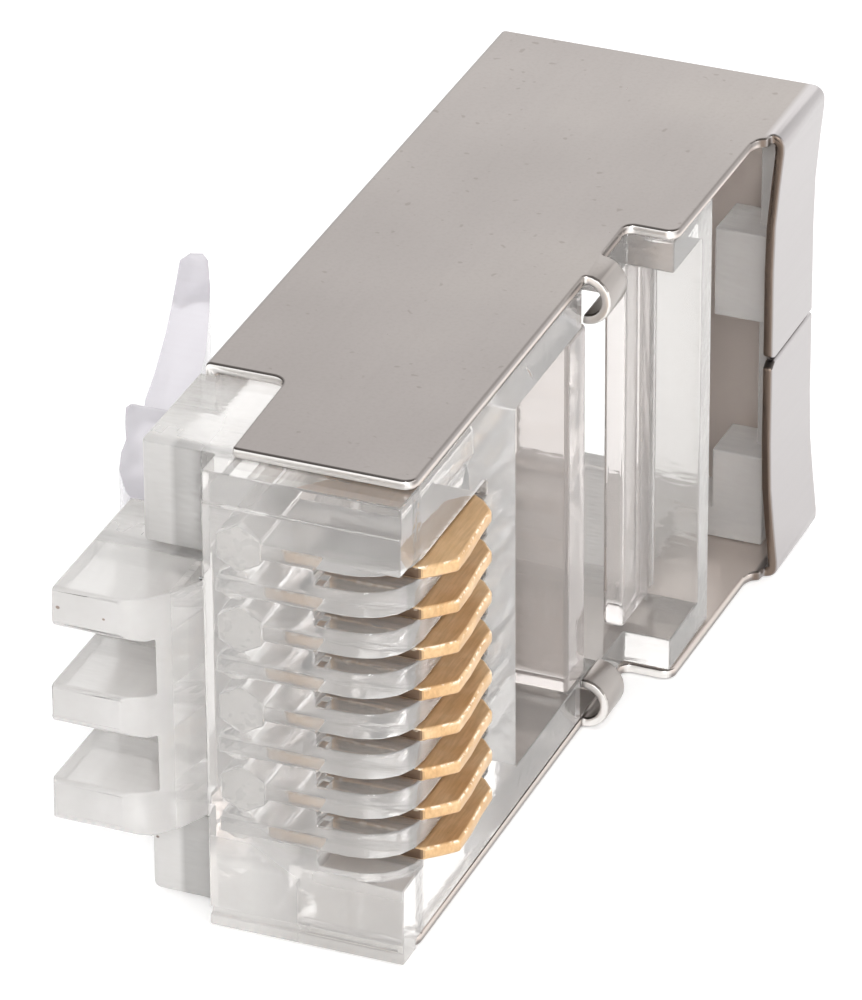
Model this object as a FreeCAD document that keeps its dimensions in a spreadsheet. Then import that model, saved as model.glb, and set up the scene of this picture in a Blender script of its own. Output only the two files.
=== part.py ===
import FreeCAD, Part
import Sketcher
import math
import os

# Shielded modular plug standing on one narrow side.
# Plug coordinates before the shift: X is the thickness (contact face near 0,
# latch side negative), Y is the length (nose at 0, cable end positive) and
# Z is the width, from the resting side upward.

V = FreeCAD.Vector
doc = FreeCAD.newDocument("shielded_plug")

# ---------------------------------------------------------------- dimensions
CELLS = [
    ("shift_x", 5.055), ("shift_y", -9.31),
    ("shell_width", 11.80), ("sheet", 0.25),
    ("shell_latch_x", -6.26), ("shell_front_x", -4.20), ("notch_y", 3.30),
    ("jog_y", 12.75), ("jog_x", 1.22), ("band_x", 1.88), ("band_front_y", 18.08),
    ("rear_y", 20.90), ("seam_z", 5.80), ("seam_gap", 0.06), ("band_bow", 0.21),
    ("nose_y", -0.75), ("nose_x", -4.62), ("cheek_x", -6.36), ("cheek_y", 0.05),
    ("body_latch_x", -5.99), ("body_rear_y", 20.40), ("rear_rim_x", 1.15),
    ("body_low_z", 0.27), ("body_top_z", 11.53), ("lip_low_z", 0.02),
    ("pitch", 1.016), ("mid_z", 5.90), ("blade", 0.33), ("slot", 0.38),
    ("comb_x", -2.02), ("blade_front_y", 0.22), ("blade_back_y", 3.68),
    ("tip_long", -3.65), ("tip_short", -3.16), ("slot_long", -4.58), ("slot_short", -4.12),
    ("latch_width", 5.90), ("lever_width", 3.25), ("cheek_low_z", 0.07),
    ("root_front_y", -2.28), ("root_back_y", 1.94), ("root_x", -7.45),
    ("win_low_z", 1.30), ("win_top_z", 10.50), ("win_front_y", 5.97),
    ("bar_a_front", 9.22), ("bar_a_back", 10.34), ("bar_b_front", 12.81), ("bar_b_back", 14.50),
    ("bar_deep_x", -2.00), ("bar_face_x", -0.02),
    ("rim_front", 14.62), ("rim_back", 15.30), ("cav_latch_x", -5.40), ("cav_top_x", -0.12),
    ("ear_front", 10.10), ("ear_back", 11.18), ("ear_radius", 0.63),
]
D = dict(CELLS)
sheet = doc.addObject("Spreadsheet::Sheet", "dims")
for row, (name, value) in enumerate(CELLS, start=1):
    sheet.set("A%d" % row, name)
    sheet.set("B%d" % row, "%.6g" % value)
    sheet.setAlias("B%d" % row, name)
doc.recompute()


def val(c):
    return D[c[0]] + c[1] if isinstance(c, tuple) else float(c)


def expr(c):
    return "dims.%s + (%.6g)" % c if isinstance(c, tuple) else None


def minus(cell):
    """Offset equal to the negative of a cell, for planes whose normal is -Y."""
    return ("-dims.%s" % cell, -D[cell])


def origin_item(body, role):
    for f in body.Origin.OriginFeatures:
        if f.Role == role:
            return f
    raise RuntimeError(role)


def new_body(label):
    body = doc.addObject("PartDesign::Body", label)
    body.Label = label
    body.Placement = FreeCAD.Placement(V(D["shift_x"], D["shift_y"], 0), FreeCAD.Rotation())
    body.setExpression("Placement.Base.x", "dims.shift_x")
    body.setExpression("Placement.Base.y", "dims.shift_y")
    return body


def sketch(body, name, pts, plane="XY_Plane", offset=0.0, round_at=()):
    """Closed polygon, each corner fixed to the origin by its two distances.
    Corners named in round_at are (index, radius) and become arcs."""
    sk = body.newObject("Sketcher::SketchObject", name)
    sk.AttachmentSupport = (origin_item(body, plane), [""])
    sk.MapMode = "FlatFace"
    if isinstance(offset, tuple) and offset[0].startswith("-dims."):
        sk.AttachmentOffset = FreeCAD.Placement(V(0, 0, offset[1]), FreeCAD.Rotation())
        sk.setExpression("AttachmentOffset.Base.z", offset[0])
    elif isinstance(offset, tuple):
        sk.AttachmentOffset = FreeCAD.Placement(V(0, 0, val(offset)), FreeCAD.Rotation())
        sk.setExpression("AttachmentOffset.Base.z", expr(offset))
    elif offset:
        sk.AttachmentOffset = FreeCAD.Placement(V(0, 0, offset), FreeCAD.Rotation())
    rounds = dict(round_at)
    n = len(pts)
    P = [V(val(x), val(y), 0) for x, y in pts]
    if not rounds:
        for i in range(n):
            sk.addGeometry(Part.LineSegment(P[i], P[(i + 1) % n]), False)
        for i in range(n):
            sk.addConstraint(Sketcher.Constraint("Coincident", i, 2, (i + 1) % n, 1))
        for i, (x, y) in enumerate(pts):
            k = sk.addConstraint(Sketcher.Constraint("DistanceX", -1, 1, i, 1, val(x)))
            if expr(x):
                sk.setExpression("Constraints[%d]" % k, expr(x))
            k = sk.addConstraint(Sketcher.Constraint("DistanceY", -1, 1, i, 1, val(y)))
            if expr(y):
                sk.setExpression("Constraints[%d]" % k, expr(y))
        return sk
    edges = []
    start = []
    for i in range(n):
        a, p, b = P[i - 1], P[i], P[(i + 1) % n]
        if i in rounds:
            r = rounds[i]
            u = (a - p).normalize()
            w = (b - p).normalize()
            half = math.acos(max(-1, min(1, u.dot(w)))) / 2
            t = r / math.tan(half)
            q1, q2 = p + u * t, p + w * t
            c = p + (u + w).normalize() * (r / math.sin(half))
            m = c + (p - c).normalize() * r
            start.append((q1, m, q2))
        else:
            start.append((p, None, p))
    for i in range(n):
        q1, m, q2 = start[i]
        if m is not None:
            edges.append(Part.Arc(q1, m, q2))
        nxt = start[(i + 1) % n][0]
        edges.append(Part.LineSegment(q2, nxt))
    for e in edges:
        sk.addGeometry(e, False)
    return sk


def pad(body, name, sk, length):
    f = body.newObject("PartDesign::Pad", name)
    f.Profile = sk
    if isinstance(length, str):
        f.Length = 1.0
        f.setExpression("Length", length)
    else:
        f.Length = length
    sk.Visibility = False
    doc.recompute()
    return f


def pocket(body, name, sk, length, into_plus=True):
    """Pocket that must remove material; the side is checked by volume."""
    before = body.Shape.Volume
    f = body.newObject("PartDesign::Pocket", name)
    f.Profile = sk
    f.Type = 0
    f.Reversed = into_plus
    if isinstance(length, str):
        f.Length = 1.0
        f.setExpression("Length", length)
    else:
        f.Length = length
    sk.Visibility = False
    doc.recompute()
    if "Invalid" in f.State or f.Shape.isNull() or not (f.Shape.Volume < before - 1e-6):
        raise RuntimeError("pocket %s removes nothing" % name)
    return f


def repeat_z(body, name, features, spacing, count):
    p = body.newObject("PartDesign::LinearPattern", name)
    p.Originals = features
    p.Direction = (origin_item(body, "Z_Axis"), [""])
    p.Length = spacing * (count - 1)
    p.setExpression("Length", "dims.pitch * %d" % round(spacing / D["pitch"] * (count - 1)))
    p.Occurrences = count
    body.Tip = p
    doc.recompute()
    return p


def edges_where(shape, test):
    out = []
    for i, e in enumerate(shape.Edges, start=1):
        if test(e):
            out.append("Edge%d" % i)
    return out


def fillet(body, name, base, test, radius):
    names = edges_where(base.Shape, test)
    if not names:
        raise RuntimeError("no edges for " + name)
    f = body.newObject("PartDesign::Fillet", name)
    f.Base = (base, names)
    f.Radius = radius
    doc.recompute()
    if "Invalid" in f.State or f.Shape.isNull() or not f.Shape.isValid():
        body.removeObject(f)
        doc.removeObject(f.Name)
        body.Tip = base
        doc.recompute()
        FreeCAD.Console.PrintMessage("skipped " + name + "\n")
        return base
    return f


def along(e, axis):
    if len(e.Vertexes) != 2 or not hasattr(e.Curve, "Direction"):
        return False
    a, b = e.Vertexes[0].Point, e.Vertexes[1].Point
    d = b - a
    if d.Length < 1e-6:
        return False
    return abs(abs(d.normalize().dot(axis)) - 1) < 1e-4


def at(e, **k):
    c = e.CenterOfMass
    for key, (lo, hi) in k.items():
        if not lo <= getattr(c, key) <= hi:
            return False
    return True


X, Y, Z = V(1, 0, 0), V(0, 1, 0), V(0, 0, 1)

# ------------------------------------------------------------------- housing
housing = new_body("housing")
s = sketch(housing, "outline", [
    (0.0, ("nose_y", 0)), (0.0, ("jog_y", 0.02)), (("rear_rim_x", 0), ("jog_y", 0.02)),
    (("rear_rim_x", 0), ("body_rear_y", 0)), (("body_latch_x", 0), ("body_rear_y", 0)),
    (("body_latch_x", 0), ("notch_y", -0.02)), (("cheek_x", 0), ("notch_y", -0.02)),
    (("cheek_x", 0), ("cheek_y", 0)), (("nose_x", 0), ("cheek_y", 0)), (("nose_x", 0), ("nose_y", 0)),
], offset=("body_low_z", 0))
pad(housing, "moulding", s, "dims.body_top_z - dims.body_low_z")

# lower lip of the nose, flush with the resting side of the shell
s = sketch(housing, "lip_outline", [
    (0.0, ("nose_y", 0)), (0.0, -0.02), (("nose_x", 0), -0.02), (("nose_x", 0), ("nose_y", 0)),
], offset=("lip_low_z", 0))
pad(housing, "nose_lip", s, "dims.body_low_z - dims.lip_low_z + 0.01")

# feet of the two cheeks, in front of the notches of the shell
s = sketch(housing, "cheek_foot_outline", [
    (("nose_x", 0), ("cheek_y", 0)), (("nose_x", 0), 3.20), (("cheek_x", 0), 3.20), (("cheek_x", 0), ("cheek_y", 0)),
], offset=("cheek_low_z", 0))
pad(housing, "cheek_foot", s, "dims.body_low_z - dims.cheek_low_z + 0.01")

# channel between the cheeks that the pressed latch sinks into
s = sketch(housing, "latch_channel_outline", [
    (-7.0, -0.02), (-4.88, -0.02), (-4.88, 9.60), (-7.0, 9.60),
], offset=("mid_z", -3.15))
pocket(housing, "latch_channel", s, 6.30)

# latch root: a block in front of the nose, split into prongs by two slots
s = sketch(housing, "latch_root_outline", [
    (("root_x", -0.27), -2.10), (("root_x", -0.10), ("root_front_y", 0)), (-5.95, ("root_front_y", 0)),
    (-5.40, -2.02), (-4.95, -1.50), (("nose_x", 0.02), -0.78), (-4.40, -0.60), (-4.40, 1.20),
    (-5.30, 1.20), (-5.75, 1.72), (-6.38, ("root_back_y", 0)), (("root_x", -0.27), ("root_back_y", 0)),
], offset=("mid_z", -3.03))
pad(housing, "latch_root", s, 6.0)
s = sketch(housing, "root_slot_outline", [
    (-8.2, -2.6), (-5.35, -2.6), (-5.20, -1.2), (-5.20, 0.55), (-5.55, 1.15), (-8.2, 1.15),
], offset=("mid_z", -1.90))
root_slot = pocket(housing, "root_slot", s, 1.375)
s = sketch(housing, "root_slot_upper_outline", [
    (-8.2, -2.6), (-5.35, -2.6), (-5.20, -1.2), (-5.20, 0.55), (-5.55, 1.15), (-8.2, 1.15),
], offset=("mid_z", 0.525))
pocket(housing, "root_slot_upper", s, 1.375)

# the outer face of the root leans, further out on the lower prong
s = sketch(housing, "root_lean_outline", [
    (-8.3, 9.2), (("root_x", -0.04), 9.2), (("root_x", -0.26), 2.6), (-8.3, 2.6),
], plane="XZ_Plane", offset=-2.2)
pocket(housing, "root_lean", s, 5.0)

# rounded front corner of the comb
s = sketch(housing, "comb_round_outline", [
    (0.6, -1.2), (0.6, 0.55), (0.0, 0.55), (-0.06, 0.12), (-0.26, -0.26), (-0.56, -0.53),
    (-0.93, -0.69), (-1.30, ("nose_y", 0)), (-1.30, -1.2),
], offset=("mid_z", -3.95))
pocket(housing, "comb_round", s, 7.90)

# slots for the blades, long and short ones alternating
def slot_points(deep):
    return [(0.6, -1.2), (0.6, 4.25), (-0.35, 4.25), (-0.35, ("blade_back_y", 0.03)),
            ((deep, 0), ("blade_back_y", 0.03)), ((deep, 0), ("blade_front_y", -0.03)),
            (("comb_x", 0), ("blade_front_y", -0.03)), (("comb_x", 0), -1.2)]


s = sketch(housing, "long_slot_outline", slot_points("slot_long"),
           offset=("mid_z", -3.5 * D["pitch"] - D["slot"] / 2))
f = pocket(housing, "long_slot", s, "dims.slot")
repeat_z(housing, "long_slots", [f], 2 * D["pitch"], 4)
s = sketch(housing, "short_slot_outline", slot_points("slot_short"),
           offset=("mid_z", -2.5 * D["pitch"] - D["slot"] / 2))
f = pocket(housing, "short_slot", s, "dims.slot")
repeat_z(housing, "short_slots", [f], 2 * D["pitch"], 4)

# conductor channels: a hexagonal row and a round row, ending behind the nose wall
hexes = []
for k in range(6):
    a = math.radians(30 + 60 * k)
    hexes.append((-4.00 + 0.60 * math.cos(a), D["mid_z"] - 2.5 * D["pitch"] + 0.60 * math.sin(a)))
s = sketch(housing, "hex_channel_outline", hexes, plane="XZ_Plane", offset=-0.10)
f = pocket(housing, "hex_channel", s, 6.5, into_plus=False)
if f.Shape.BoundBox.YMin > 0 or housing.Shape.isInside(V(-4.0, 3.0, D["mid_z"] - 2.5 * D["pitch"]), 1e-4, True):
    raise RuntimeError("hexagonal channel is on the wrong side")
repeat_z(housing, "hex_channels", [f], 2 * D["pitch"], 4)
rnd = []
for k in range(12):
    a = math.radians(15 + 30 * k)
    rnd.append((-4.20 + 0.42 * math.cos(a), D["mid_z"] - 3.5 * D["pitch"] + 0.42 * math.sin(a)))
s = sketch(housing, "round_channel_outline", rnd, plane="XZ_Plane", offset=-0.45)
f = pocket(housing, "round_channel", s, 6.2, into_plus=False)
repeat_z(housing, "round_channels", [f], 2 * D["pitch"], 4)

# window over the conductors, open to the contact side
s = sketch(housing, "conductor_window_outline", [
    (-4.45, ("win_front_y", 0)), (0.6, ("win_front_y", 0)), (0.6, 10.9), (-4.45, 10.9),
], offset=("win_low_z", 0))
pocket(housing, "conductor_window", s, "dims.win_top_z - dims.win_low_z")
# window over the cable jacket
s = sketch(housing, "jacket_window_outline", [
    (-4.0, 10.6), (1.6, 10.6), (1.6, ("rim_front", 0)), (-4.0, ("rim_front", 0)),
], offset=("mid_z", -4.82))
pocket(housing, "jacket_window", s, 9.64)
# notches that the curled ears of the shell reach into
s = sketch(housing, "ear_notch_outline", [
    (-0.50, ("ear_front", -0.10)), (0.6, ("ear_front", -0.10)), (0.6, ("ear_back", 0.10)), (-0.50, ("ear_back", 0.10)),
], offset=0.0)
pocket(housing, "ear_notch", s, 1.30)
s = sketch(housing, "ear_notch_upper_outline", [
    (-0.50, ("ear_front", -0.10)), (0.6, ("ear_front", -0.10)), (0.6, ("ear_back", 0.10)), (-0.50, ("ear_back", 0.10)),
], offset=("shell_width", -1.30))
pocket(housing, "ear_notch_upper", s, 1.30)
# cable hollow, open at the rear
s = sketch(housing, "cable_hollow_outline", [
    (("cav_latch_x", 0), 10.4), (("cav_top_x", 0), 10.4), (("cav_top_x", 0), 21.0), (("cav_latch_x", 0), 21.0),
], offset=("mid_z", -4.82))
pocket(housing, "cable_hollow", s, 9.64)
# opening behind the rear rim, down to the bare sheet
s = sketch(housing, "rear_opening_outline", [
    (-0.95, ("rim_back", 0)), (1.8, ("rim_back", 0)), (1.8, 19.00), (-0.95, 19.00),
], offset=-0.5)
pocket(housing, "rear_opening", s, 13.0)
# two lugs and a thin beam are left of the rear wall on the contact side
s = sketch(housing, "rear_gap_outline", [
    (-0.95, 18.9), (0.78, 18.9), (0.78, 21.0), (-0.95, 21.0),
], offset=("mid_z", -3.25))
pocket(housing, "rear_gap", s, 3.65)
s = sketch(housing, "rear_gap_upper_outline", [
    (-0.95, 18.9), (0.78, 18.9), (0.78, 21.0), (-0.95, 21.0),
], offset=("mid_z", 2.70))
pocket(housing, "rear_gap_upper", s, 3.2)
s = sketch(housing, "rear_step_outline", [
    (0.5, 18.9), (1.8, 18.9), (1.8, 19.62), (0.5, 19.62),
], offset=("mid_z", -3.25))
pocket(housing, "rear_step", s, 3.65)
s = sketch(housing, "rear_step_upper_outline", [
    (0.5, 18.9), (1.8, 18.9), (1.8, 19.62), (0.5, 19.62),
], offset=("mid_z", 2.70))
pocket(housing, "rear_step_upper", s, 3.2)

# shallow step across the top of the nose face and the groove above its lower lip
s = sketch(housing, "nose_step_outline", [
    (-4.80, 10.76), (0.20, 10.76), (0.20, 11.70), (-4.80, 11.70),
], plane="XZ_Plane", offset=0.9)
f = pocket(housing, "nose_step", s, 0.21, into_plus=False)
s = sketch(housing, "lip_groove_outline", [
    (-4.62, 0.30), (-0.16, 0.30), (-0.16, 0.48), (-4.62, 0.48),
], plane="XZ_Plane", offset=0.9)
f = pocket(housing, "lip_groove", s, 0.25, into_plus=False)

tip = housing.Tip
tip = fillet(housing, "nose_edge_round", tip,
             lambda e: along(e, Z) and at(e, x=(-0.01, 0.01), y=(-0.76, -0.68), z=(8, 12)), 0.20)
tip = fillet(housing, "cheek_round", tip,
             lambda e: along(e, Z) and at(e, x=(-6.37, -6.35), y=(0.0, 0.1)), 0.15)
low = [D["mid_z"] - 3.03, D["mid_z"] - 0.525, D["mid_z"] + 1.90]
tip = fillet(housing, "prong_foot_round", tip,
             lambda e: along(e, X) and at(e, x=(-7.2, -6.4), y=(-2.29, -2.27)) and
             min(abs(e.CenterOfMass.z - z) for z in low) < 0.01, 0.32)
tip = fillet(housing, "prong_top_round", tip,
             lambda e: along(e, X) and at(e, x=(-7.2, -6.4), y=(-2.29, -2.27)), 0.12)
tip = fillet(housing, "cheek_foot_round", tip,
             lambda e: (along(e, Y) or along(e, X)) and at(e, x=(-6.4, -4.9), y=(0.0, 3.3), z=(0.06, 0.08)) and
             (abs(e.CenterOfMass.x + 6.36) < 0.01 or abs(e.CenterOfMass.y - 0.05) < 0.01), 0.18)

# --------------------------------------------------------------------- shell
shield = new_body("shield")
plate = [
    (0.0, 0.0), (0.0, ("jog_y", 0)), (("jog_x", 0), ("jog_y", 0)), (("jog_x", 0.05), 17.50),
    (("jog_x", 0.14), 17.74), (("jog_x", 0.32), 17.85), (("band_x", -0.32), ("band_front_y", 0.02)), (("band_x", -0.32), ("rear_y", 0)),
    (("shell_latch_x", 0.14), ("rear_y", 0)), (("shell_latch_x", 0.14), ("notch_y", 0)),
    (("shell_front_x", -0.10), ("notch_y", 0)), (("shell_front_x", 0), 0.0),
]
PLATE_ROUND = [(0, 0.30), (1, 0.25), (2, 0.30), (10, 0.35), (11, 0.12)]
# the ring section of the rear: latch wall, both narrow walls and the bands
wall = [
    (("shell_latch_x", 0), 0.0), (("band_x", 0), 0.0),
    (("band_x", 0), 0.45), (("band_x", -0.09), 1.35), (("band_x", -0.18), 2.40),
    (("band_x", -D["band_bow"]), 3.60), (("band_x", -D["band_bow"]), ("seam_z", -D["seam_gap"] / 2)),
    (("band_x", -D["band_bow"] - 0.25), ("seam_z", -D["seam_gap"] / 2)), (("band_x", -D["band_bow"] - 0.25), 3.60),
    (("band_x", -0.43), 2.40), (("band_x", -0.34), 1.35), (("band_x", -0.25), 0.45),
    (("band_x", -0.25), ("sheet", 0)), (("shell_latch_x", 0.25), ("sheet", 0)),
    (("shell_latch_x", 0.25), ("shell_width", -0.25)), (("band_x", -0.25), ("shell_width", -0.25)),
    (("band_x", -0.25), 11.35), (("band_x", -0.34), 10.45), (("band_x", -0.43), 9.40),
    (("band_x", -D["band_bow"] - 0.25), 8.20), (("band_x", -D["band_bow"] - 0.25), ("seam_z", D["seam_gap"] / 2)),
    (("band_x", -D["band_bow"]), ("seam_z", D["seam_gap"] / 2)), (("band_x", -D["band_bow"]), 8.20),
    (("band_x", -0.18), 9.40), (("band_x", -0.09), 10.45), (("band_x", 0), 11.35),
    (("band_x", 0), ("shell_width", 0)), (("shell_latch_x", 0), ("shell_width", 0)),
]
s = sketch(shield, "ring_section", wall, plane="XZ_Plane", offset=minus("rear_y"),
           round_at=[(0, 0.14), (1, 0.30), (26, 0.30), (27, 0.14), (12, 0.05), (13, 0.05), (14, 0.05), (15, 0.05)])
f = pad(shield, "rear_ring", s, "dims.rear_y - dims.band_front_y")
if abs(f.Shape.BoundBox.YMax - D["rear_y"]) > 0.01:
    raise RuntimeError("ring on the wrong side %r" % f.Shape.BoundBox)
s = sketch(shield, "upper_plate", plate, offset=("shell_width", -0.25), round_at=PLATE_ROUND)
pad(shield, "upper_wall", s, "dims.sheet")
s = sketch(shield, "lower_plate", plate, offset=0.0, round_at=PLATE_ROUND)
pad(shield, "lower_wall", s, "dims.sheet")
# latch-side wall in front of the ring, with its two long bends
latch_wall = [
    (("shell_latch_x", 0), 0.0), (("shell_latch_x", 0.40), 0.0), (("shell_latch_x", 0.40), ("sheet", 0)),
    (("shell_latch_x", 0.25), ("sheet", 0)), (("shell_latch_x", 0.25), ("shell_width", -0.25)), (("shell_latch_x", 0.40), ("shell_width", -0.25)),
    (("shell_latch_x", 0.40), ("shell_width", 0)), (("shell_latch_x", 0), ("shell_width", 0)),
]
s = sketch(shield, "latch_wall_section", latch_wall, plane="XZ_Plane", offset=-18.3,
           round_at=[(0, 0.14), (3, 0.05), (4, 0.05), (7, 0.14)])
f = pad(shield, "latch_wall", s, "18.3 mm - dims.notch_y * 1 mm")
if abs(f.Shape.BoundBox.YMin) > 0.01:
    raise RuntimeError("latch wall side %r" % f.Shape.BoundBox)
s = sketch(shield, "latch_cutout_outline", [
    (-7.0, 3.0), (-5.8, 3.0), (-5.8, 9.70), (-7.0, 9.70),
], offset=("mid_z", -4.85))
pocket(shield, "latch_cutout", s, 9.70)
# folded lip across the cable end on the contact side
s = sketch(shield, "rear_lip_outline", [
    (-0.90, ("rear_y", -0.25)), (("band_x", -0.40), ("rear_y", -0.25)), (("band_x", -0.40), ("rear_y", 0)),
    (-0.90, ("rear_y", 0)),
], offset=0.10)
pad(shield, "rear_lip", s, 11.60)
# curled ears that hold the moulding, one on each narrow wall
def ear_points(cz, sign):
    outer, inner = [], []
    big = D["ear_radius"]
    small = big - D["sheet"] + 0.01
    for k in range(0, 13):
        a = math.radians(90 - k * 15.5)
        outer.append((0.02 + big * math.cos(a), cz + sign * big * math.sin(a)))
        inner.append((0.02 + small * math.cos(a), cz + sign * small * math.sin(a)))
    pts = [(-0.30, cz + sign * big)] + outer + inner[::-1] + [(-0.30, cz + sign * small)]
    return pts


s = sketch(shield, "upper_ear_section", ear_points(D["shell_width"] - D["ear_radius"], 1), plane="XZ_Plane",
           offset=minus("ear_back"))
f = pad(shield, "upper_ear", s, "dims.ear_back - dims.ear_front")
s = sketch(shield, "lower_ear_section", ear_points(D["ear_radius"], -1), plane="XZ_Plane",
           offset=minus("ear_back"))
f = pad(shield, "lower_ear", s, "dims.ear_back - dims.ear_front")
if abs(f.Shape.BoundBox.XMax - D["band_x"]) > 0.01 or f.Shape.isInside(V(0.55, D["ear_back"] + 0.2, 0.6), 1e-4, True):
    raise RuntimeError("ears on the wrong side")
tip = shield.Tip
# small corners where the two bands meet
s = sketch(shield, "seam_corner_outline", [(17.9, ("seam_z", -0.30)), (("band_front_y", 0.22), ("seam_z", -0.03)),
     (("band_front_y", 0.22), ("seam_z", 0.03)), (17.9, ("seam_z", 0.26))],
           plane="YZ_Plane", offset=1.2)
pocket(shield, "seam_corner", s, 1.0)

# ------------------------------------------------------------------ contacts
def contact(label, index, tip_cell):
    body = new_body(label)
    t = D[tip_cell]
    pts = [
        (0.05, ("blade_front_y", 0)), (0.38, 0.52), (0.70, 0.86), (0.68, 1.60), (0.60, 2.45), (0.57, 3.10),
        (0.26, 3.46), (-0.08, ("blade_back_y", 0)), (-2.45, ("blade_back_y", 0)), ((tip_cell, 0), 3.24),
        (-2.55, 2.62), (-1.95, 2.50), (-1.95, 1.40), (-2.55, 1.30), ((tip_cell, 0), 0.62),
        ((tip_cell, 0.22), ("blade_front_y", 0)),
    ]
    zc = (3.5 - index) * D["pitch"]
    s = sketch(body, label + "_outline", pts, offset=("mid_z", zc - D["blade"] / 2))
    f = pad(body, label + "_blade", s, "dims.blade")
    f = fillet(body, label + "_round", f,
               lambda e: along(e, Z) and at(e, x=(0.55, 0.72), y=(0.8, 3.2)), 0.12)
    return body


contacts = []
for i in range(8):
    contacts.append(contact("contact_%d" % (i + 1), i, "tip_short" if i % 2 == 0 else "tip_long"))

# ----------------------------------------------------------------- the latch
latch = new_body("latch_lever")
s = sketch(latch, "tongue_outline", [
    (-6.52, ("root_back_y", 0.04)), (-7.20, 3.05), (-7.85, 4.85), (-8.26, 6.10), (-9.18, 6.10),
    (-9.26, 5.62), (-8.98, 4.95), (-8.66, 4.30), (-8.52, 3.70), (-8.25, 2.98), (-7.72, 2.15),
    (-7.56, ("root_back_y", 0.04)),
], offset=("mid_z", -2.95))
pad(latch, "tongue", s, "dims.latch_width")
s = sketch(latch, "lever_outline", [
    (-8.10, 5.60), (-8.90, 8.40), (-9.60, 10.85), (-10.28, 12.60), (-10.80, 13.85), (-11.36, 15.02),
    (-11.62, 15.30), (-11.90, 15.20), (-11.99, 14.80), (-11.38, 13.00), (-10.84, 11.34), (-10.30, 9.48),
    (-10.02, 8.35), (-9.40, 6.60), (-8.95, 5.60),
], offset=("mid_z", -1.625))
f = pad(latch, "lever", s, "dims.lever_width")
f = fillet(latch, "shoulder_round", f,
           lambda e: at(e, y=(6.05, 6.15), z=(2.9, 3.0)) or at(e, y=(6.05, 6.15), z=(8.8, 8.9)), 0.35)

# ------------------------------------------------------------------ the bars
conductor_bar = new_body("conductor_clamp_bar")
s = sketch(conductor_bar, "conductor_bar_section", [
    (("bar_deep_x", 0), ("bar_a_front", 0)), (("bar_face_x", 0), ("bar_a_front", 0)),
    (("bar_face_x", 0), ("bar_a_back", 0)), (("bar_deep_x", 0.35), ("bar_a_back", 0)),
    (("bar_deep_x", 0), ("bar_a_back", -0.35)),
], offset=("win_low_z", 0.03))
pad(conductor_bar, "conductor_bar", s, "dims.win_top_z - dims.win_low_z - 0.06")

cable_bar = new_body("cable_clamp_bar")
s = sketch(cable_bar, "cable_bar_section", [
    (("bar_face_x", -0.50), ("bar_b_front", 0)), (("bar_face_x", 0), ("bar_b_front", 0)),
    (("bar_face_x", 0), ("bar_b_back", 0)), (("bar_face_x", -0.91), ("bar_b_back", 0)),
    (("bar_face_x", -0.91), ("bar_b_back", -0.55)),
], offset=("mid_z", -4.78))
pad(cable_bar, "cable_bar", s, 9.56)

# -------------------------------------------------------------------- export
doc.recompute()
os.makedirs("parts", exist_ok=True)
for o in doc.Objects:
    if "Invalid" in o.State or "Error" in o.State:
        raise RuntimeError("bad state: %s %s" % (o.Name, o.State))
bodies = [housing, shield] + contacts + [latch, conductor_bar, cable_bar]
for b in bodies:
    shape = b.Shape
    if shape.isNull() or not shape.isValid() or len(shape.Solids) != 1:
        raise RuntimeError("bad shape: %s valid=%s solids=%d" % (b.Label, shape.isValid(), len(shape.Solids)))
    shape.exportStep("parts/%s.step" % b.Label)
    bb = shape.BoundBox
    FreeCAD.Console.PrintMessage("%s vol %.3f box %.2f %.2f %.2f %.2f %.2f %.2f\n" % (
        b.Label, shape.Volume, bb.XMin, bb.YMin, bb.ZMin, bb.XMax, bb.YMax, bb.ZMax))
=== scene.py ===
import math

import bmesh
import bpy
from mathutils import Matrix, Vector


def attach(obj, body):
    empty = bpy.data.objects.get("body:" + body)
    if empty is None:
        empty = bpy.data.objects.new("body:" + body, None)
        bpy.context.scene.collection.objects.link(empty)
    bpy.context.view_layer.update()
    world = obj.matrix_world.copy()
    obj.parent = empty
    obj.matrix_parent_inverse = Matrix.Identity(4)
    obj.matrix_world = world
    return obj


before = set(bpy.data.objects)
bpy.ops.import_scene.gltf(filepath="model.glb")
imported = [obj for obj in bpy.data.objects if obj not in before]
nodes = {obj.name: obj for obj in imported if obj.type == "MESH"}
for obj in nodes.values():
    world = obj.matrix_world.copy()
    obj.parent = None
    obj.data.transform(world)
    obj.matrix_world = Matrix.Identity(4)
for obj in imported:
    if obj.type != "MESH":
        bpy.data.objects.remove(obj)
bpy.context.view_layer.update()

MM = 0.001
SHIFT = Vector((5.055, -9.31, 0.0))   # plug coordinates to the row frame, in mm


def at(x, y, z):
    """Plug coordinates in mm to the row frame in metres."""
    return (Vector((x, y, z)) + SHIFT) * MM


# ------------------------------------------------------------------ materials
def new_material(name):
    m = bpy.data.materials.new(name)
    m.use_nodes = True
    nt = m.node_tree
    nt.nodes.clear()
    out = nt.nodes.new("ShaderNodeOutputMaterial")
    b = nt.nodes.new("ShaderNodeBsdfPrincipled")
    nt.links.new(b.outputs[0], out.inputs["Surface"])
    return m, nt, b, out


def node(nt, kind, **values):
    n = nt.nodes.new(kind)
    for k, v in values.items():
        if k in n.inputs:
            n.inputs[k].default_value = v
        else:
            setattr(n, k, v)
    return n


def link(nt, a, b):
    nt.links.new(a, b)


def coords(nt, scale=(1, 1, 1), rotation=(0, 0, 0)):
    """Object coordinates in millimetres."""
    tc = nt.nodes.new("ShaderNodeTexCoord")
    mp = nt.nodes.new("ShaderNodeMapping")
    mp.inputs["Scale"].default_value = [1000.0 * s for s in scale]
    mp.inputs["Rotation"].default_value = rotation
    nt.links.new(tc.outputs["Object"], mp.inputs["Vector"])
    return mp.outputs[0]


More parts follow.
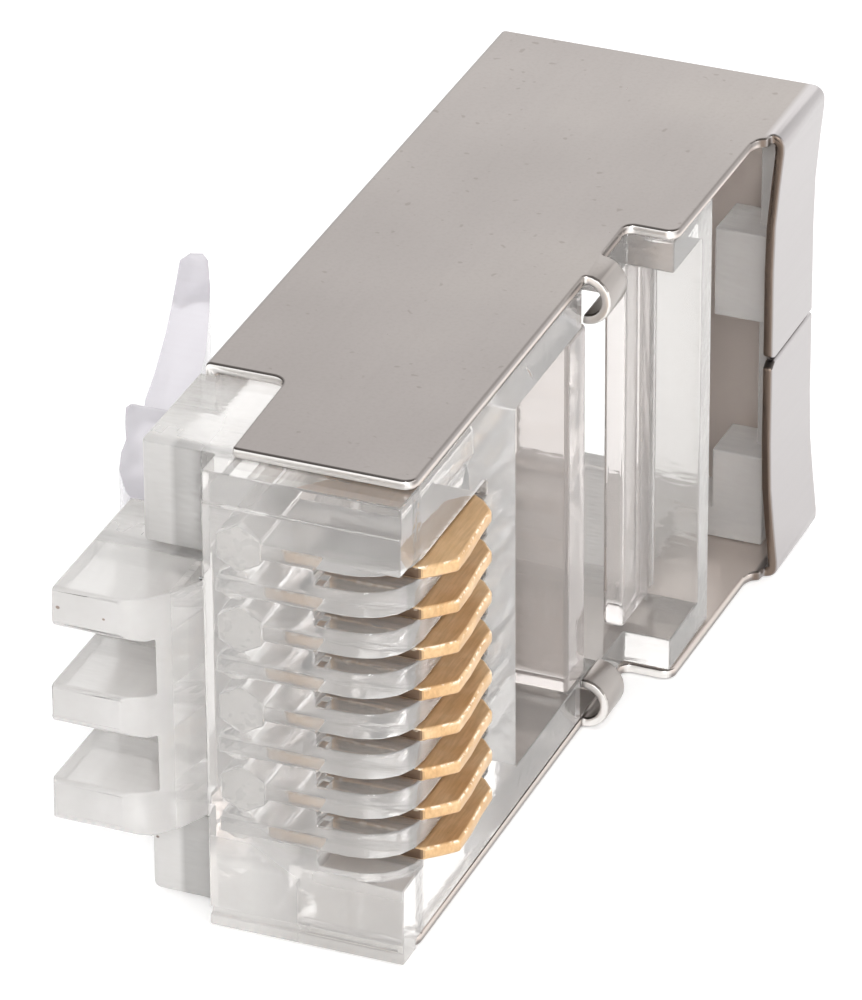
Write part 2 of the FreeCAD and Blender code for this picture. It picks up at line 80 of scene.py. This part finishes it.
def noise(nt, vec, scale, detail=3.0, rough=0.5, distortion=0.0):
    n = nt.nodes.new("ShaderNodeTexNoise")
    n.inputs["Scale"].default_value = scale
    n.inputs["Detail"].default_value = detail
    n.inputs["Roughness"].default_value = rough
    n.inputs["Distortion"].default_value = distortion
    nt.links.new(vec, n.inputs["Vector"])
    return n.outputs["Fac"]


def ramp(nt, fac, stops):
    n = nt.nodes.new("ShaderNodeValToRGB")
    el = n.color_ramp.elements
    while len(el) > 1:
        el.remove(el[-1])
    el[0].position, el[0].color = stops[0][0], (*stops[0][1], 1)
    for pos, col in stops[1:]:
        e = el.new(pos)
        e.color = (*col, 1)
    nt.links.new(fac, n.inputs["Fac"])
    return n.outputs["Color"]


def fmap(nt, value, a, b, c, d):
    n = nt.nodes.new("ShaderNodeMapRange")
    n.inputs["From Min"].default_value = a
    n.inputs["From Max"].default_value = b
    n.inputs["To Min"].default_value = c
    n.inputs["To Max"].default_value = d
    nt.links.new(value, n.inputs["Value"])
    return n.outputs["Result"]


def mix(nt, fac, a, b, blend="MIX"):
    n = nt.nodes.new("ShaderNodeMix")
    n.data_type = "RGBA"
    n.blend_type = blend
    if isinstance(fac, (int, float)):
        n.inputs[0].default_value = fac
    else:
        nt.links.new(fac, n.inputs[0])
    for idx, v in ((6, a), (7, b)):
        if isinstance(v, tuple):
            n.inputs[idx].default_value = (*v, 1)
        else:
            nt.links.new(v, n.inputs[idx])
    return n.outputs[2]


def mathn(nt, op, a, b=None):
    n = nt.nodes.new("ShaderNodeMath")
    n.operation = op
    for i, v in enumerate((a, b)):
        if v is None:
            continue
        if isinstance(v, (int, float)):
            n.inputs[i].default_value = v
        else:
            nt.links.new(v, n.inputs[i])
    return n.outputs[0]


def bump(nt, height, strength, distance_mm, normal=None):
    n = nt.nodes.new("ShaderNodeBump")
    n.inputs["Strength"].default_value = strength
    n.inputs["Distance"].default_value = distance_mm * MM
    nt.links.new(height, n.inputs["Height"])
    if normal is not None:
        nt.links.new(normal, n.inputs["Normal"])
    return n.outputs[0]


def srgb(r, g, b):
    def f(v):
        v /= 255.0
        return v / 12.92 if v <= 0.04045 else ((v + 0.055) / 1.055) ** 2.4
    return (f(r), f(g), f(b))


def nickel():
    """Matt nickel plating on folded sheet: fine grain, faint specks and rub marks; the bright sheared edges, brighter
    bands and ears, pale inner faces and front-to-rear gradient are painted light and shade.
    """
    m, nt, b, out = new_material("nickel_sheet")
    v = coords(nt)
    cloud = noise(nt, v, 0.22, 1, 0.55)
    grain = noise(nt, v, 11.0, 1, 0.6)
    streak = noise(nt, coords(nt, (1.0, 0.06, 1.0), (0, 0, 0.35)), 7.0, 1, 0.6)
    base = ramp(nt, cloud, [(0.30, srgb(145, 139, 136)), (0.55, srgb(149, 143, 140)), (0.75, srgb(154, 148, 144))])
    grain_c = ramp(nt, grain, [(0.25, (0.96, 0.957, 0.955)), (0.5, (1, 1, 1)), (0.8, (1.02, 1.02, 1.02))])
    col = mix(nt, 1.0, base, grain_c, "MULTIPLY")
    speck = fmap(nt, noise(nt, v, 4.6, 0, 0.5), 0.79, 0.85, 0.0, 1.0)
    col = mix(nt, mathn(nt, "MULTIPLY", speck, 0.30), col, srgb(96, 84, 76))
    geo = nt.nodes.new("ShaderNodeNewGeometry")
    sep = nt.nodes.new("ShaderNodeSeparateXYZ")
    link(nt, geo.outputs["True Normal"], sep.inputs[0])
    pos = nt.nodes.new("ShaderNodeSeparateXYZ")
    link(nt, v, pos.inputs[0])
    # painted light: the sheet is painted darker towards the front and a little brighter towards the rear, standing in
    # for the rear lying nearer the light
    col = mix(nt, 1.0, col, ramp(nt, fmap(nt, pos.outputs[1], -9.3, 11.6, 0.0, 1.0),
                                 [(0.0, (0.88, 0.875, 0.875)), (1.0, (1.02, 1.02, 1.015))]), "MULTIPLY")
    # painted light: the curved bands at the cable end are painted brighter than the rest of the sheet, standing in for
    # the light they catch at a grazing angle
    band_painted_light = mathn(nt, "MULTIPLY", fmap(nt, pos.outputs[0], 6.46, 6.60, 0.0, 1.0), fmap(nt, pos.outputs[1], 8.60, 8.80, 0.0, 1.0))
    col = mix(nt, band_painted_light, col, srgb(178, 174, 174))
    # painted light: inner faces are painted paler and less metallic than the outer face, standing in for light inside
    # the shell
    inside_painted_light = mathn(nt, "MULTIPLY", fmap(nt, pos.outputs[2], 0.10, 0.16, 0.0, 1.0), fmap(nt, pos.outputs[2], 11.64, 11.70, 1.0, 0.0))
    inside_painted_light = mathn(nt, "MULTIPLY", inside_painted_light, fmap(nt, pos.outputs[0], 6.44, 6.52, 1.0, 0.0))
    inside_painted_light = mathn(nt, "MULTIPLY", inside_painted_light, fmap(nt, pos.outputs[0], -1.08, -1.02, 0.0, 1.0))
    # painted light: the curled ears are kept out of the pale inner paint and painted paler than the flat sheet,
    # standing in for the sheen they catch
    ear_painted_light = mathn(nt, "MULTIPLY", fmap(nt, pos.outputs[1], 0.66, 0.72, 0.0, 1.0), fmap(nt, pos.outputs[1], 2.02, 1.96, 0.0, 1.0))
    ear_painted_light = mathn(nt, "MULTIPLY", ear_painted_light, fmap(nt, pos.outputs[0], 3.90, 4.00, 0.0, 1.0))
    ear_painted_light = mathn(nt, "MULTIPLY", ear_painted_light, mathn(nt, "MULTIPLY", fmap(nt, pos.outputs[2], 0.10, 0.16, 0.0, 1.0),
                                           fmap(nt, pos.outputs[2], 11.64, 11.70, 1.0, 0.0)))
    inside_painted_light = mathn(nt, "MULTIPLY", inside_painted_light, mathn(nt, "SUBTRACT", 1.0, ear_painted_light))
    rear = mathn(nt, "MULTIPLY", fmap(nt, pos.outputs[1], 11.50, 11.56, 0.0, 1.0), fmap(nt, sep.outputs[1], 0.3, 0.6, 0.0, 1.0))
    inside_painted_light = mathn(nt, "MULTIPLY", inside_painted_light, mathn(nt, "SUBTRACT", 1.0, rear))
    col = mix(nt, ear_painted_light, col, srgb(170, 164, 160))
    col = mix(nt, mathn(nt, "MULTIPLY", inside_painted_light, 0.85), col, srgb(212, 201, 194))
    # painted light: the sheared front edges are painted bright as a painted highlight, a dark painted reflection line
    # runs where the sheet rolls over into them, and the front edges of the curved bands get painted shade
    fore = fmap(nt, pos.outputs[1], 16.8 - 9.31, 17.2 - 9.31, 1.0, 0.0)
    lip = fmap(nt, pos.outputs[1], 18.40 - 9.31, 18.50 - 9.31, 1.0, 0.0)
    front = fmap(nt, sep.outputs[1], -0.55, -0.85, 0.0, 1.0)
    roll = mathn(nt, "MULTIPLY", fmap(nt, sep.outputs[1], -0.12, -0.35, 0.0, 1.0), fmap(nt, sep.outputs[2], 0.25, 0.50, 0.0, 1.0))
    col = mix(nt, mathn(nt, "MULTIPLY", front, fore), col, srgb(240, 237, 234))
    col = mix(nt, mathn(nt, "MULTIPLY", roll, 0.90), col, srgb(58, 52, 48))
    shade = mathn(nt, "MULTIPLY", mathn(nt, "MULTIPLY", front, mathn(nt, "SUBTRACT", 1.0, fore)), lip)
    col = mix(nt, shade, col, srgb(126, 112, 102))
    link(nt, col, b.inputs["Base Color"])
    link(nt, fmap(nt, inside_painted_light, 0.0, 1.0, 1.0, 0.60), b.inputs["Metallic"])
    rough = fmap(nt, mathn(nt, "ADD", mathn(nt, "MULTIPLY", streak, 0.7), mathn(nt, "MULTIPLY", grain, 0.3)),
                 0.2, 0.8, 0.27, 0.32)
    link(nt, rough, b.inputs["Roughness"])
    h = mathn(nt, "SUBTRACT", mathn(nt, "MULTIPLY", grain, 0.5), mathn(nt, "MULTIPLY", speck, 1.2))
    link(nt, bump(nt, h, 0.10, 0.004), b.inputs["Normal"])
    return m


def clear_plastic(name, tint, milk, rough_lo, rough_hi, streak_axis, zones=(), dirt=()):
    """Clear moulded polycarbonate, slightly milky, with flow streaks and faint tool marks.

    zones: (axis and fade start/end in plug mm, added milk, added roughness, shade, relief); several axes
    in one zone multiply. dirt: (centre in plug mm, tilt about X, half size in mm) of single marks."""
    m, nt, b, out = new_material(name)
    v = coords(nt)
    sc = {"x": (0.10, 1, 1), "y": (1, 0.10, 1), "z": (1, 1, 0.10)}[streak_axis]
    streak = noise(nt, coords(nt, sc), 4.0, 1, 0.5)
    soft = noise(nt, v, 0.55, 1, 0.5)
    col = mix(nt, 1.0, ramp(nt, soft, [(0.3, tuple(0.995 * c for c in tint)), (0.7, tint)]),
              ramp(nt, streak, [(0.3, (0.985, 0.982, 0.98)), (0.6, (1, 1, 1))]), "MULTIPLY")
    b.inputs["IOR"].default_value = 1.45
    rough = fmap(nt, streak, 0.35, 0.7, rough_lo, rough_hi)
    sep = nt.nodes.new("ShaderNodeSeparateXYZ")
    link(nt, coords(nt), sep.inputs[0])
    weight = None
    relief = None
    for ramps, add_milk, add_rough, shade, amp in zones:
        mask = None
        for axis, start, end in ramps:
            part = fmap(nt, sep.outputs[axis], start + SHIFT[axis], end + SHIFT[axis], 0.0, 1.0)
            mask = part if mask is None else mathn(nt, "MULTIPLY", mask, part)
        weight = mathn(nt, "SUBTRACT", 1.0 - milk if weight is None else weight, mathn(nt, "MULTIPLY", mask, add_milk))
        rough = mathn(nt, "ADD", rough, mathn(nt, "MULTIPLY", mask, add_rough))
        # painted shade: a zone's shade factor darkens the plastic's tint there
        if shade < 1.0:
            col = mix(nt, mask, col, mix(nt, 1.0, col, (shade, shade, shade), "MULTIPLY"))
        if amp > 0.0:
            part = mathn(nt, "MULTIPLY", mask, 0.07 * amp)
            relief = part if relief is None else mathn(nt, "ADD", relief, part)
    for centre, tilt, half in dirt:
        mp = nt.nodes.new("ShaderNodeMapping")
        mp.vector_type = "TEXTURE"
        mp.inputs["Location"].default_value = [centre[i] + SHIFT[i] for i in range(3)]
        mp.inputs["Rotation"].default_value = (tilt, 0.0, 0.0)
        mp.inputs["Scale"].default_value = half
        link(nt, v, mp.inputs["Vector"])
        ln = nt.nodes.new("ShaderNodeVectorMath")
        ln.operation = "LENGTH"
        link(nt, mp.outputs[0], ln.inputs[0])
        mask = fmap(nt, ln.outputs["Value"], 1.0, 0.55, 0.0, 0.85)
        col = mix(nt, mask, col, srgb(92, 66, 48))
        weight = mathn(nt, "MULTIPLY", 1.0 - milk if weight is None else weight, mathn(nt, "SUBTRACT", 1.0, mask))
    if weight is None:
        b.inputs["Transmission Weight"].default_value = 1.0 - milk
    else:
        link(nt, weight, b.inputs["Transmission Weight"])
    link(nt, col, b.inputs["Base Color"])
    link(nt, rough, b.inputs["Roughness"])
    # tool marks, drawn out along X: faint all over, strong where a zone asks for relief
    tool = bump(nt, noise(nt, coords(nt, (0.30, 1.0, 1.0)), 5.0, 1, 0.5), 0.04, 0.05)
    if relief is not None:
        link(nt, mathn(nt, "MINIMUM", mathn(nt, "ADD", relief, 0.04), 0.9), tool.node.inputs["Strength"])
    link(nt, tool, b.inputs["Normal"])
    return m


def gold():
    """Gold flash over phosphor bronze, with rolling lines and small dark specks."""
    m, nt, b, out = new_material("gold_contact")
    v = coords(nt)
    roll = noise(nt, coords(nt, (1.0, 0.08, 0.4), (0, 0, -0.25)), 16.0, 3, 0.6)
    cloud = noise(nt, v, 1.1, 3, 0.5)
    speck = noise(nt, v, 13.0, 2, 0.5)
    col = ramp(nt, cloud, [(0.30, srgb(212, 172, 124)), (0.55, srgb(222, 186, 142)), (0.75, srgb(232, 202, 162))])
    col = mix(nt, 1.0, col, ramp(nt, roll, [(0.3, (0.80, 0.77, 0.74)), (0.65, (1, 1, 1))]), "MULTIPLY")
    col = mix(nt, fmap(nt, speck, 0.74, 0.80, 0.0, 0.5), col, srgb(110, 70, 40))
    geo = nt.nodes.new("ShaderNodeNewGeometry")
    sep = nt.nodes.new("ShaderNodeSeparateXYZ")
    link(nt, geo.outputs["True Normal"], sep.inputs[0])
    pos = nt.nodes.new("ShaderNodeSeparateXYZ")
    link(nt, v, pos.inputs[0])
    # painted shade: the cut end that faces the nose is painted dark, standing in for the shade of the fin slot it
    # faces
    end = mathn(nt, "MULTIPLY", fmap(nt, sep.outputs[1], -0.80, -0.95, 0.0, 1.0), fmap(nt, pos.outputs[0], 3.0, 3.2, 0.0, 1.0))
    col = mix(nt, end, col, srgb(96, 76, 60))
    # painted highlight: the rolled edge along the top of each blade is painted near white in a broken line
    painted_glint = mathn(nt, "MULTIPLY", fmap(nt, sep.outputs[2], 0.20, 0.45, 0.0, 1.0), fmap(nt, sep.outputs[2], 0.97, 0.85, 0.0, 1.0))
    painted_glint = mathn(nt, "MULTIPLY", painted_glint, fmap(nt, noise(nt, v, 5.5, 2, 0.6), 0.48, 0.58, 0.0, 1.0))
    col = mix(nt, mathn(nt, "MULTIPLY", painted_glint, 0.85), col, srgb(255, 242, 222))
    link(nt, col, b.inputs["Base Color"])
    b.inputs["Metallic"].default_value = 0.62
    link(nt, fmap(nt, roll, 0.25, 0.75, 0.30, 0.44), b.inputs["Roughness"])
    link(nt, bump(nt, roll, 0.2, 0.012), b.inputs["Normal"])
    return m


TINT = srgb(255, 253, 251)
M_NICKEL = nickel()
M_BODY = clear_plastic("clear_plastic", TINT, 0.10, 0.015, 0.05, "y", zones=(
    (((1, 5.2, 6.0), (1, 15.4, 15.2)), 0.04, 0.02, 0.85, 1.6),   # the windows' walls, with fine tool marks and painted shade
    (((1, 14.45, 14.60),), 0.08, 0.10, 0.93, 2.0),              # walls at the cable end, left rough by the tool, with a little painted shade
    (((1, 15.35, 15.45),), 0.22, 0.02, 1.00, 3.0),              # and the lugs behind them
    (((0, -2.3, -3.6), (1, 3.0, 1.0)), 0.14, 0.02, 0.97, 0.0),   # the latch side of the nose is cloudier, with a little painted shade
    (((2, 2.5, 1.7), (1, 5.0, 3.5)), 0.14, 0.02, 1.00, 0.0),     # and so is the block under the ribs
    (((0, -2.6, -2.0), (1, 0.9, 0.5), (2, 1.6, 1.9), (2, 10.1, 9.9)), 0.08, 0.01, 1.00, 0.0),   # and the ribs
    (((0, -4.8, -5.1), (1, -0.1, 0.0), (1, 3.6, 3.3)), 0.10, 0.12, 0.97, 5.0),   # cheeks, with drawn tool marks and a little painted shade
    (((0, -4.7, -4.9), (1, -0.1, 0.0), (1, 0.5, 0.3)), 0.06, 0.06, 0.80, 3.0),  # their front faces are rougher and cloudier, with painted shade
    (((0, -5.70, -5.55), (1, -0.1, 0.0), (1, 0.5, 0.3)), 0.06, 0.10, 0.62, 9.0),   # and rougher toward the nose, with deeper painted shade
    (((0, -4.9, -5.7), (1, 1.6, 0.8)), 0.22, 0.10, 0.84, 1.5),   # and the prongs are frosted, with painted shade
), dirt=(
    ((-7.36, -2.28, 8.40), 0.0, (0.07, 0.07, 0.06)),                      # dirt on the prongs and the lower cheek
    ((-6.28, -2.28, 8.33), 0.0, (0.05, 0.05, 0.04)),
    ((-6.21, 0.05, 1.47), 0.0, (0.05, 0.05, 0.04)),
    ((0.0, 6.78, 11.02), -0.871, (0.15, 0.36, 0.04)),                     # a short dark scratch over the first window
))
M_LATCH = clear_plastic("clear_latch", srgb(240, 237, 243), 0.42, 0.10, 0.16, "x", zones=(
    (((0, -9.9, -9.0),), 0.10, 0.04, 0.90, 0.0),                # the tongue is more frosted than the finger end, with painted shade
))
M_BAR = clear_plastic("clear_bar", srgb(246, 242, 240), 0.16, 0.015, 0.05, "z")
# painted shade: the conductor bar gets a darker-tinted copy of the bar plastic
M_POST_SHADED = clear_plastic("clear_post_shaded", srgb(232, 226, 223), 0.16, 0.015, 0.05, "z")
M_GOLD = gold()


def soften(obj, width_mm, angle=25.0, segments=2, clamp=False, weld=0.0002, planar=True):
    """Small moulded or sheared radius on the sharp edges."""
    w = obj.modifiers.new("weld", "WELD")
    w.merge_threshold = weld * MM
    if planar:
        d = obj.modifiers.new("planar", "DECIMATE")
        d.decimate_type = "DISSOLVE"
        d.angle_limit = math.radians(0.3)
    bv = obj.modifiers.new("edge", "BEVEL")
    bv.limit_method = "ANGLE"
    bv.angle_limit = math.radians(angle)
    bv.width = width_mm * MM
    bv.segments = segments
    bv.use_clamp_overlap = clamp
    bv.harden_normals = False
    bv.miter_outer = "MITER_ARC"
    for p in obj.data.polygons:
        p.use_smooth = True
    wn = obj.modifiers.new("normals", "WEIGHTED_NORMAL")
    wn.keep_sharp = True


def paint(obj, material):
    obj.data.materials.clear()
    obj.data.materials.append(material)


paint(nodes["housing"], M_BODY)
paint(nodes["shield"], M_NICKEL)
paint(nodes["latch_lever"], M_LATCH)
paint(nodes["conductor_clamp_bar"], M_POST_SHADED)
paint(nodes["cable_clamp_bar"], M_BAR)
for i in range(1, 9):
    paint(nodes["contact_%d" % i], M_GOLD)

soften(nodes["housing"], 0.045, segments=3)
soften(nodes["shield"], 0.065, segments=3, weld=0.021)
soften(nodes["latch_lever"], 0.12, segments=3, clamp=True, planar=False)
for n in ["conductor_clamp_bar", "cable_clamp_bar"]:
    soften(nodes[n], 0.12, segments=4)
for i in range(1, 9):
    soften(nodes["contact_%d" % i], 0.08, segments=3)

# frosted floors of the four hexagonal conductor channels, seen through the nose wall
PITCH, MID_Z = 1.016, 5.90
M_FROST = clear_plastic("frosted_plastic", TINT, 0.66, 0.25, 0.40, "y")
for k in range(4):
    bm = bmesh.new()
    cz = MID_Z - 2.5 * PITCH + 2 * PITCH * k
    front, back = [], []
    for i in range(6):
        ang = math.radians(30 + 60 * i)
        x, z = -4.00 + 0.585 * math.cos(ang), cz + 0.585 * math.sin(ang)
        front.append(bm.verts.new(at(x, 0.115, z)))
        back.append(bm.verts.new(at(x, 0.165, z)))
    bm.faces.new(front)
    bm.faces.new(back[::-1])
    for i in range(6):
        j = (i + 1) % 6
        bm.faces.new((front[i], back[i], back[j], front[j]))
    bmesh.ops.recalc_face_normals(bm, faces=bm.faces)
    bmesh.ops.bevel(bm, geom=[e for e in bm.edges], offset=0.012 * MM, segments=2, affect="EDGES", profile=0.5)
    me = bpy.data.meshes.new("channel_floor_%d" % (k + 1))
    bm.to_mesh(me)
    bm.free()
    disc = bpy.data.objects.new("channel_floor_%d" % (k + 1), me)
    bpy.context.scene.collection.objects.link(disc)
    paint(disc, M_FROST)
    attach(disc, "plug_body")

# ------------------------------------------------------------- floor and light
fm, fnt, fb, fout = new_material("floor_white")
fv = coords(fnt)
fb.inputs["Roughness"].default_value = 0.9
fb.inputs["Specular IOR Level"].default_value = 0.1
fb.inputs["Emission Color"].default_value = (1.0, 1.0, 1.0, 1.0)
fb.inputs["Emission Strength"].default_value = 0.22
link(fnt, ramp(fnt, noise(fnt, fv, 0.02, 2, 0.5), [(0.3, (0.90, 0.90, 0.90)), (0.7, (0.92, 0.92, 0.92))]), fb.inputs["Base Color"])
me = bpy.data.meshes.new("floor")
S = 1.5
me.from_pydata([(-S, -S, 0), (S, -S, 0), (S, S, 0), (-S, S, 0)], [], [(0, 1, 2, 3)])
floor = bpy.data.objects.new("floor", me)
bpy.context.scene.collection.objects.link(floor)
floor.location.z = -0.00002
floor.data.materials.append(fm)

world = bpy.data.worlds.new("studio")
bpy.context.scene.world = world
world.use_nodes = True
wt = world.node_tree
w_bg = wt.nodes["Background"]
w_tc = wt.nodes.new("ShaderNodeTexCoord")
w_sep = wt.nodes.new("ShaderNodeSeparateXYZ")
wt.links.new(w_tc.outputs["Generated"], w_sep.inputs[0])
# a soft tent: bright walls, slightly darker roof
w_col = ramp(wt, w_sep.outputs[2], [(0.0, (1.00, 0.997, 0.993)), (0.30, (0.96, 0.957, 0.953)),
                                    (0.55, (0.84, 0.837, 0.833)), (0.80, (0.72, 0.717, 0.713)), (1.0, (0.70, 0.697, 0.693))])
wt.links.new(w_col, w_bg.inputs[0])
w_bg.inputs[1].default_value = 1.20


def area(name, loc, target, size, power, colour=(1, 1, 1), size_y=None):
    ld = bpy.data.lights.new(name, "AREA")
    ld.shape = "RECTANGLE"
    ld.size = size
    ld.size_y = size_y or size
    ld.energy = power
    ld.color = colour
    o = bpy.data.objects.new(name, ld)
    bpy.context.scene.collection.objects.link(o)
    o.location = loc
    o.rotation_mode = "QUATERNION"
    o.rotation_quaternion = (Vector(target) - Vector(loc)).to_track_quat("-Z", "Y")
    return o


area("key", (0.12, -0.29, 0.19), (0, 0, 0.005), 0.08, 0.50)
area("fill", (0.30, 0.02, 0.12), (0, 0, 0.005), 0.20, 0.30)
area("back", (-0.05, 0.30, 0.20), (0, 0, 0.005), 0.25, 0.12)

# --------------------------------------------------------------------- camera
AZ, EL, ROLL = math.radians(22.247), math.radians(29.746), math.radians(-0.383)
DIST, TX, TY = 177.706, -0.625, -0.352
F_PX = 7799.7
back = Vector((math.sin(AZ) * math.cos(EL), -math.cos(AZ) * math.cos(EL), math.sin(EL)))
right = Vector((math.cos(AZ), math.sin(AZ), 0.0))
up = back.cross(right)
r2 = right * math.cos(ROLL) + up * math.sin(ROLL)
u2 = up * math.cos(ROLL) - right * math.sin(ROLL)
cam_data = bpy.data.cameras.new("camera")
cam = bpy.data.objects.new("camera", cam_data)
bpy.context.scene.collection.objects.link(cam)
pos = (Vector((-3.0, 10.0, 5.85)) + SHIFT + back * DIST + r2 * TX + u2 * TY) * MM
rot = Matrix((r2, u2, back)).transposed().to_4x4()
cam.matrix_world = Matrix.Translation(pos) @ rot
cam_data.sensor_fit = "AUTO"
cam_data.sensor_width = 36.0
cam_data.lens = F_PX / 1000.0 * 36.0
cam_data.clip_start = 0.01
cam_data.clip_end = 5.0
bpy.context.scene.camera = cam

# clear plastic needs long light paths
cy = bpy.context.scene.cycles
cy.max_bounces = 22
cy.transmission_bounces = 22
cy.glossy_bounces = 10
cy.diffuse_bounces = 6
cy.debug_use_spatial_splits = True
cy.use_light_tree = False

vs = bpy.context.scene.view_settings
vs.view_transform = "Standard"
vs.look = "None"
vs.exposure = 0.0
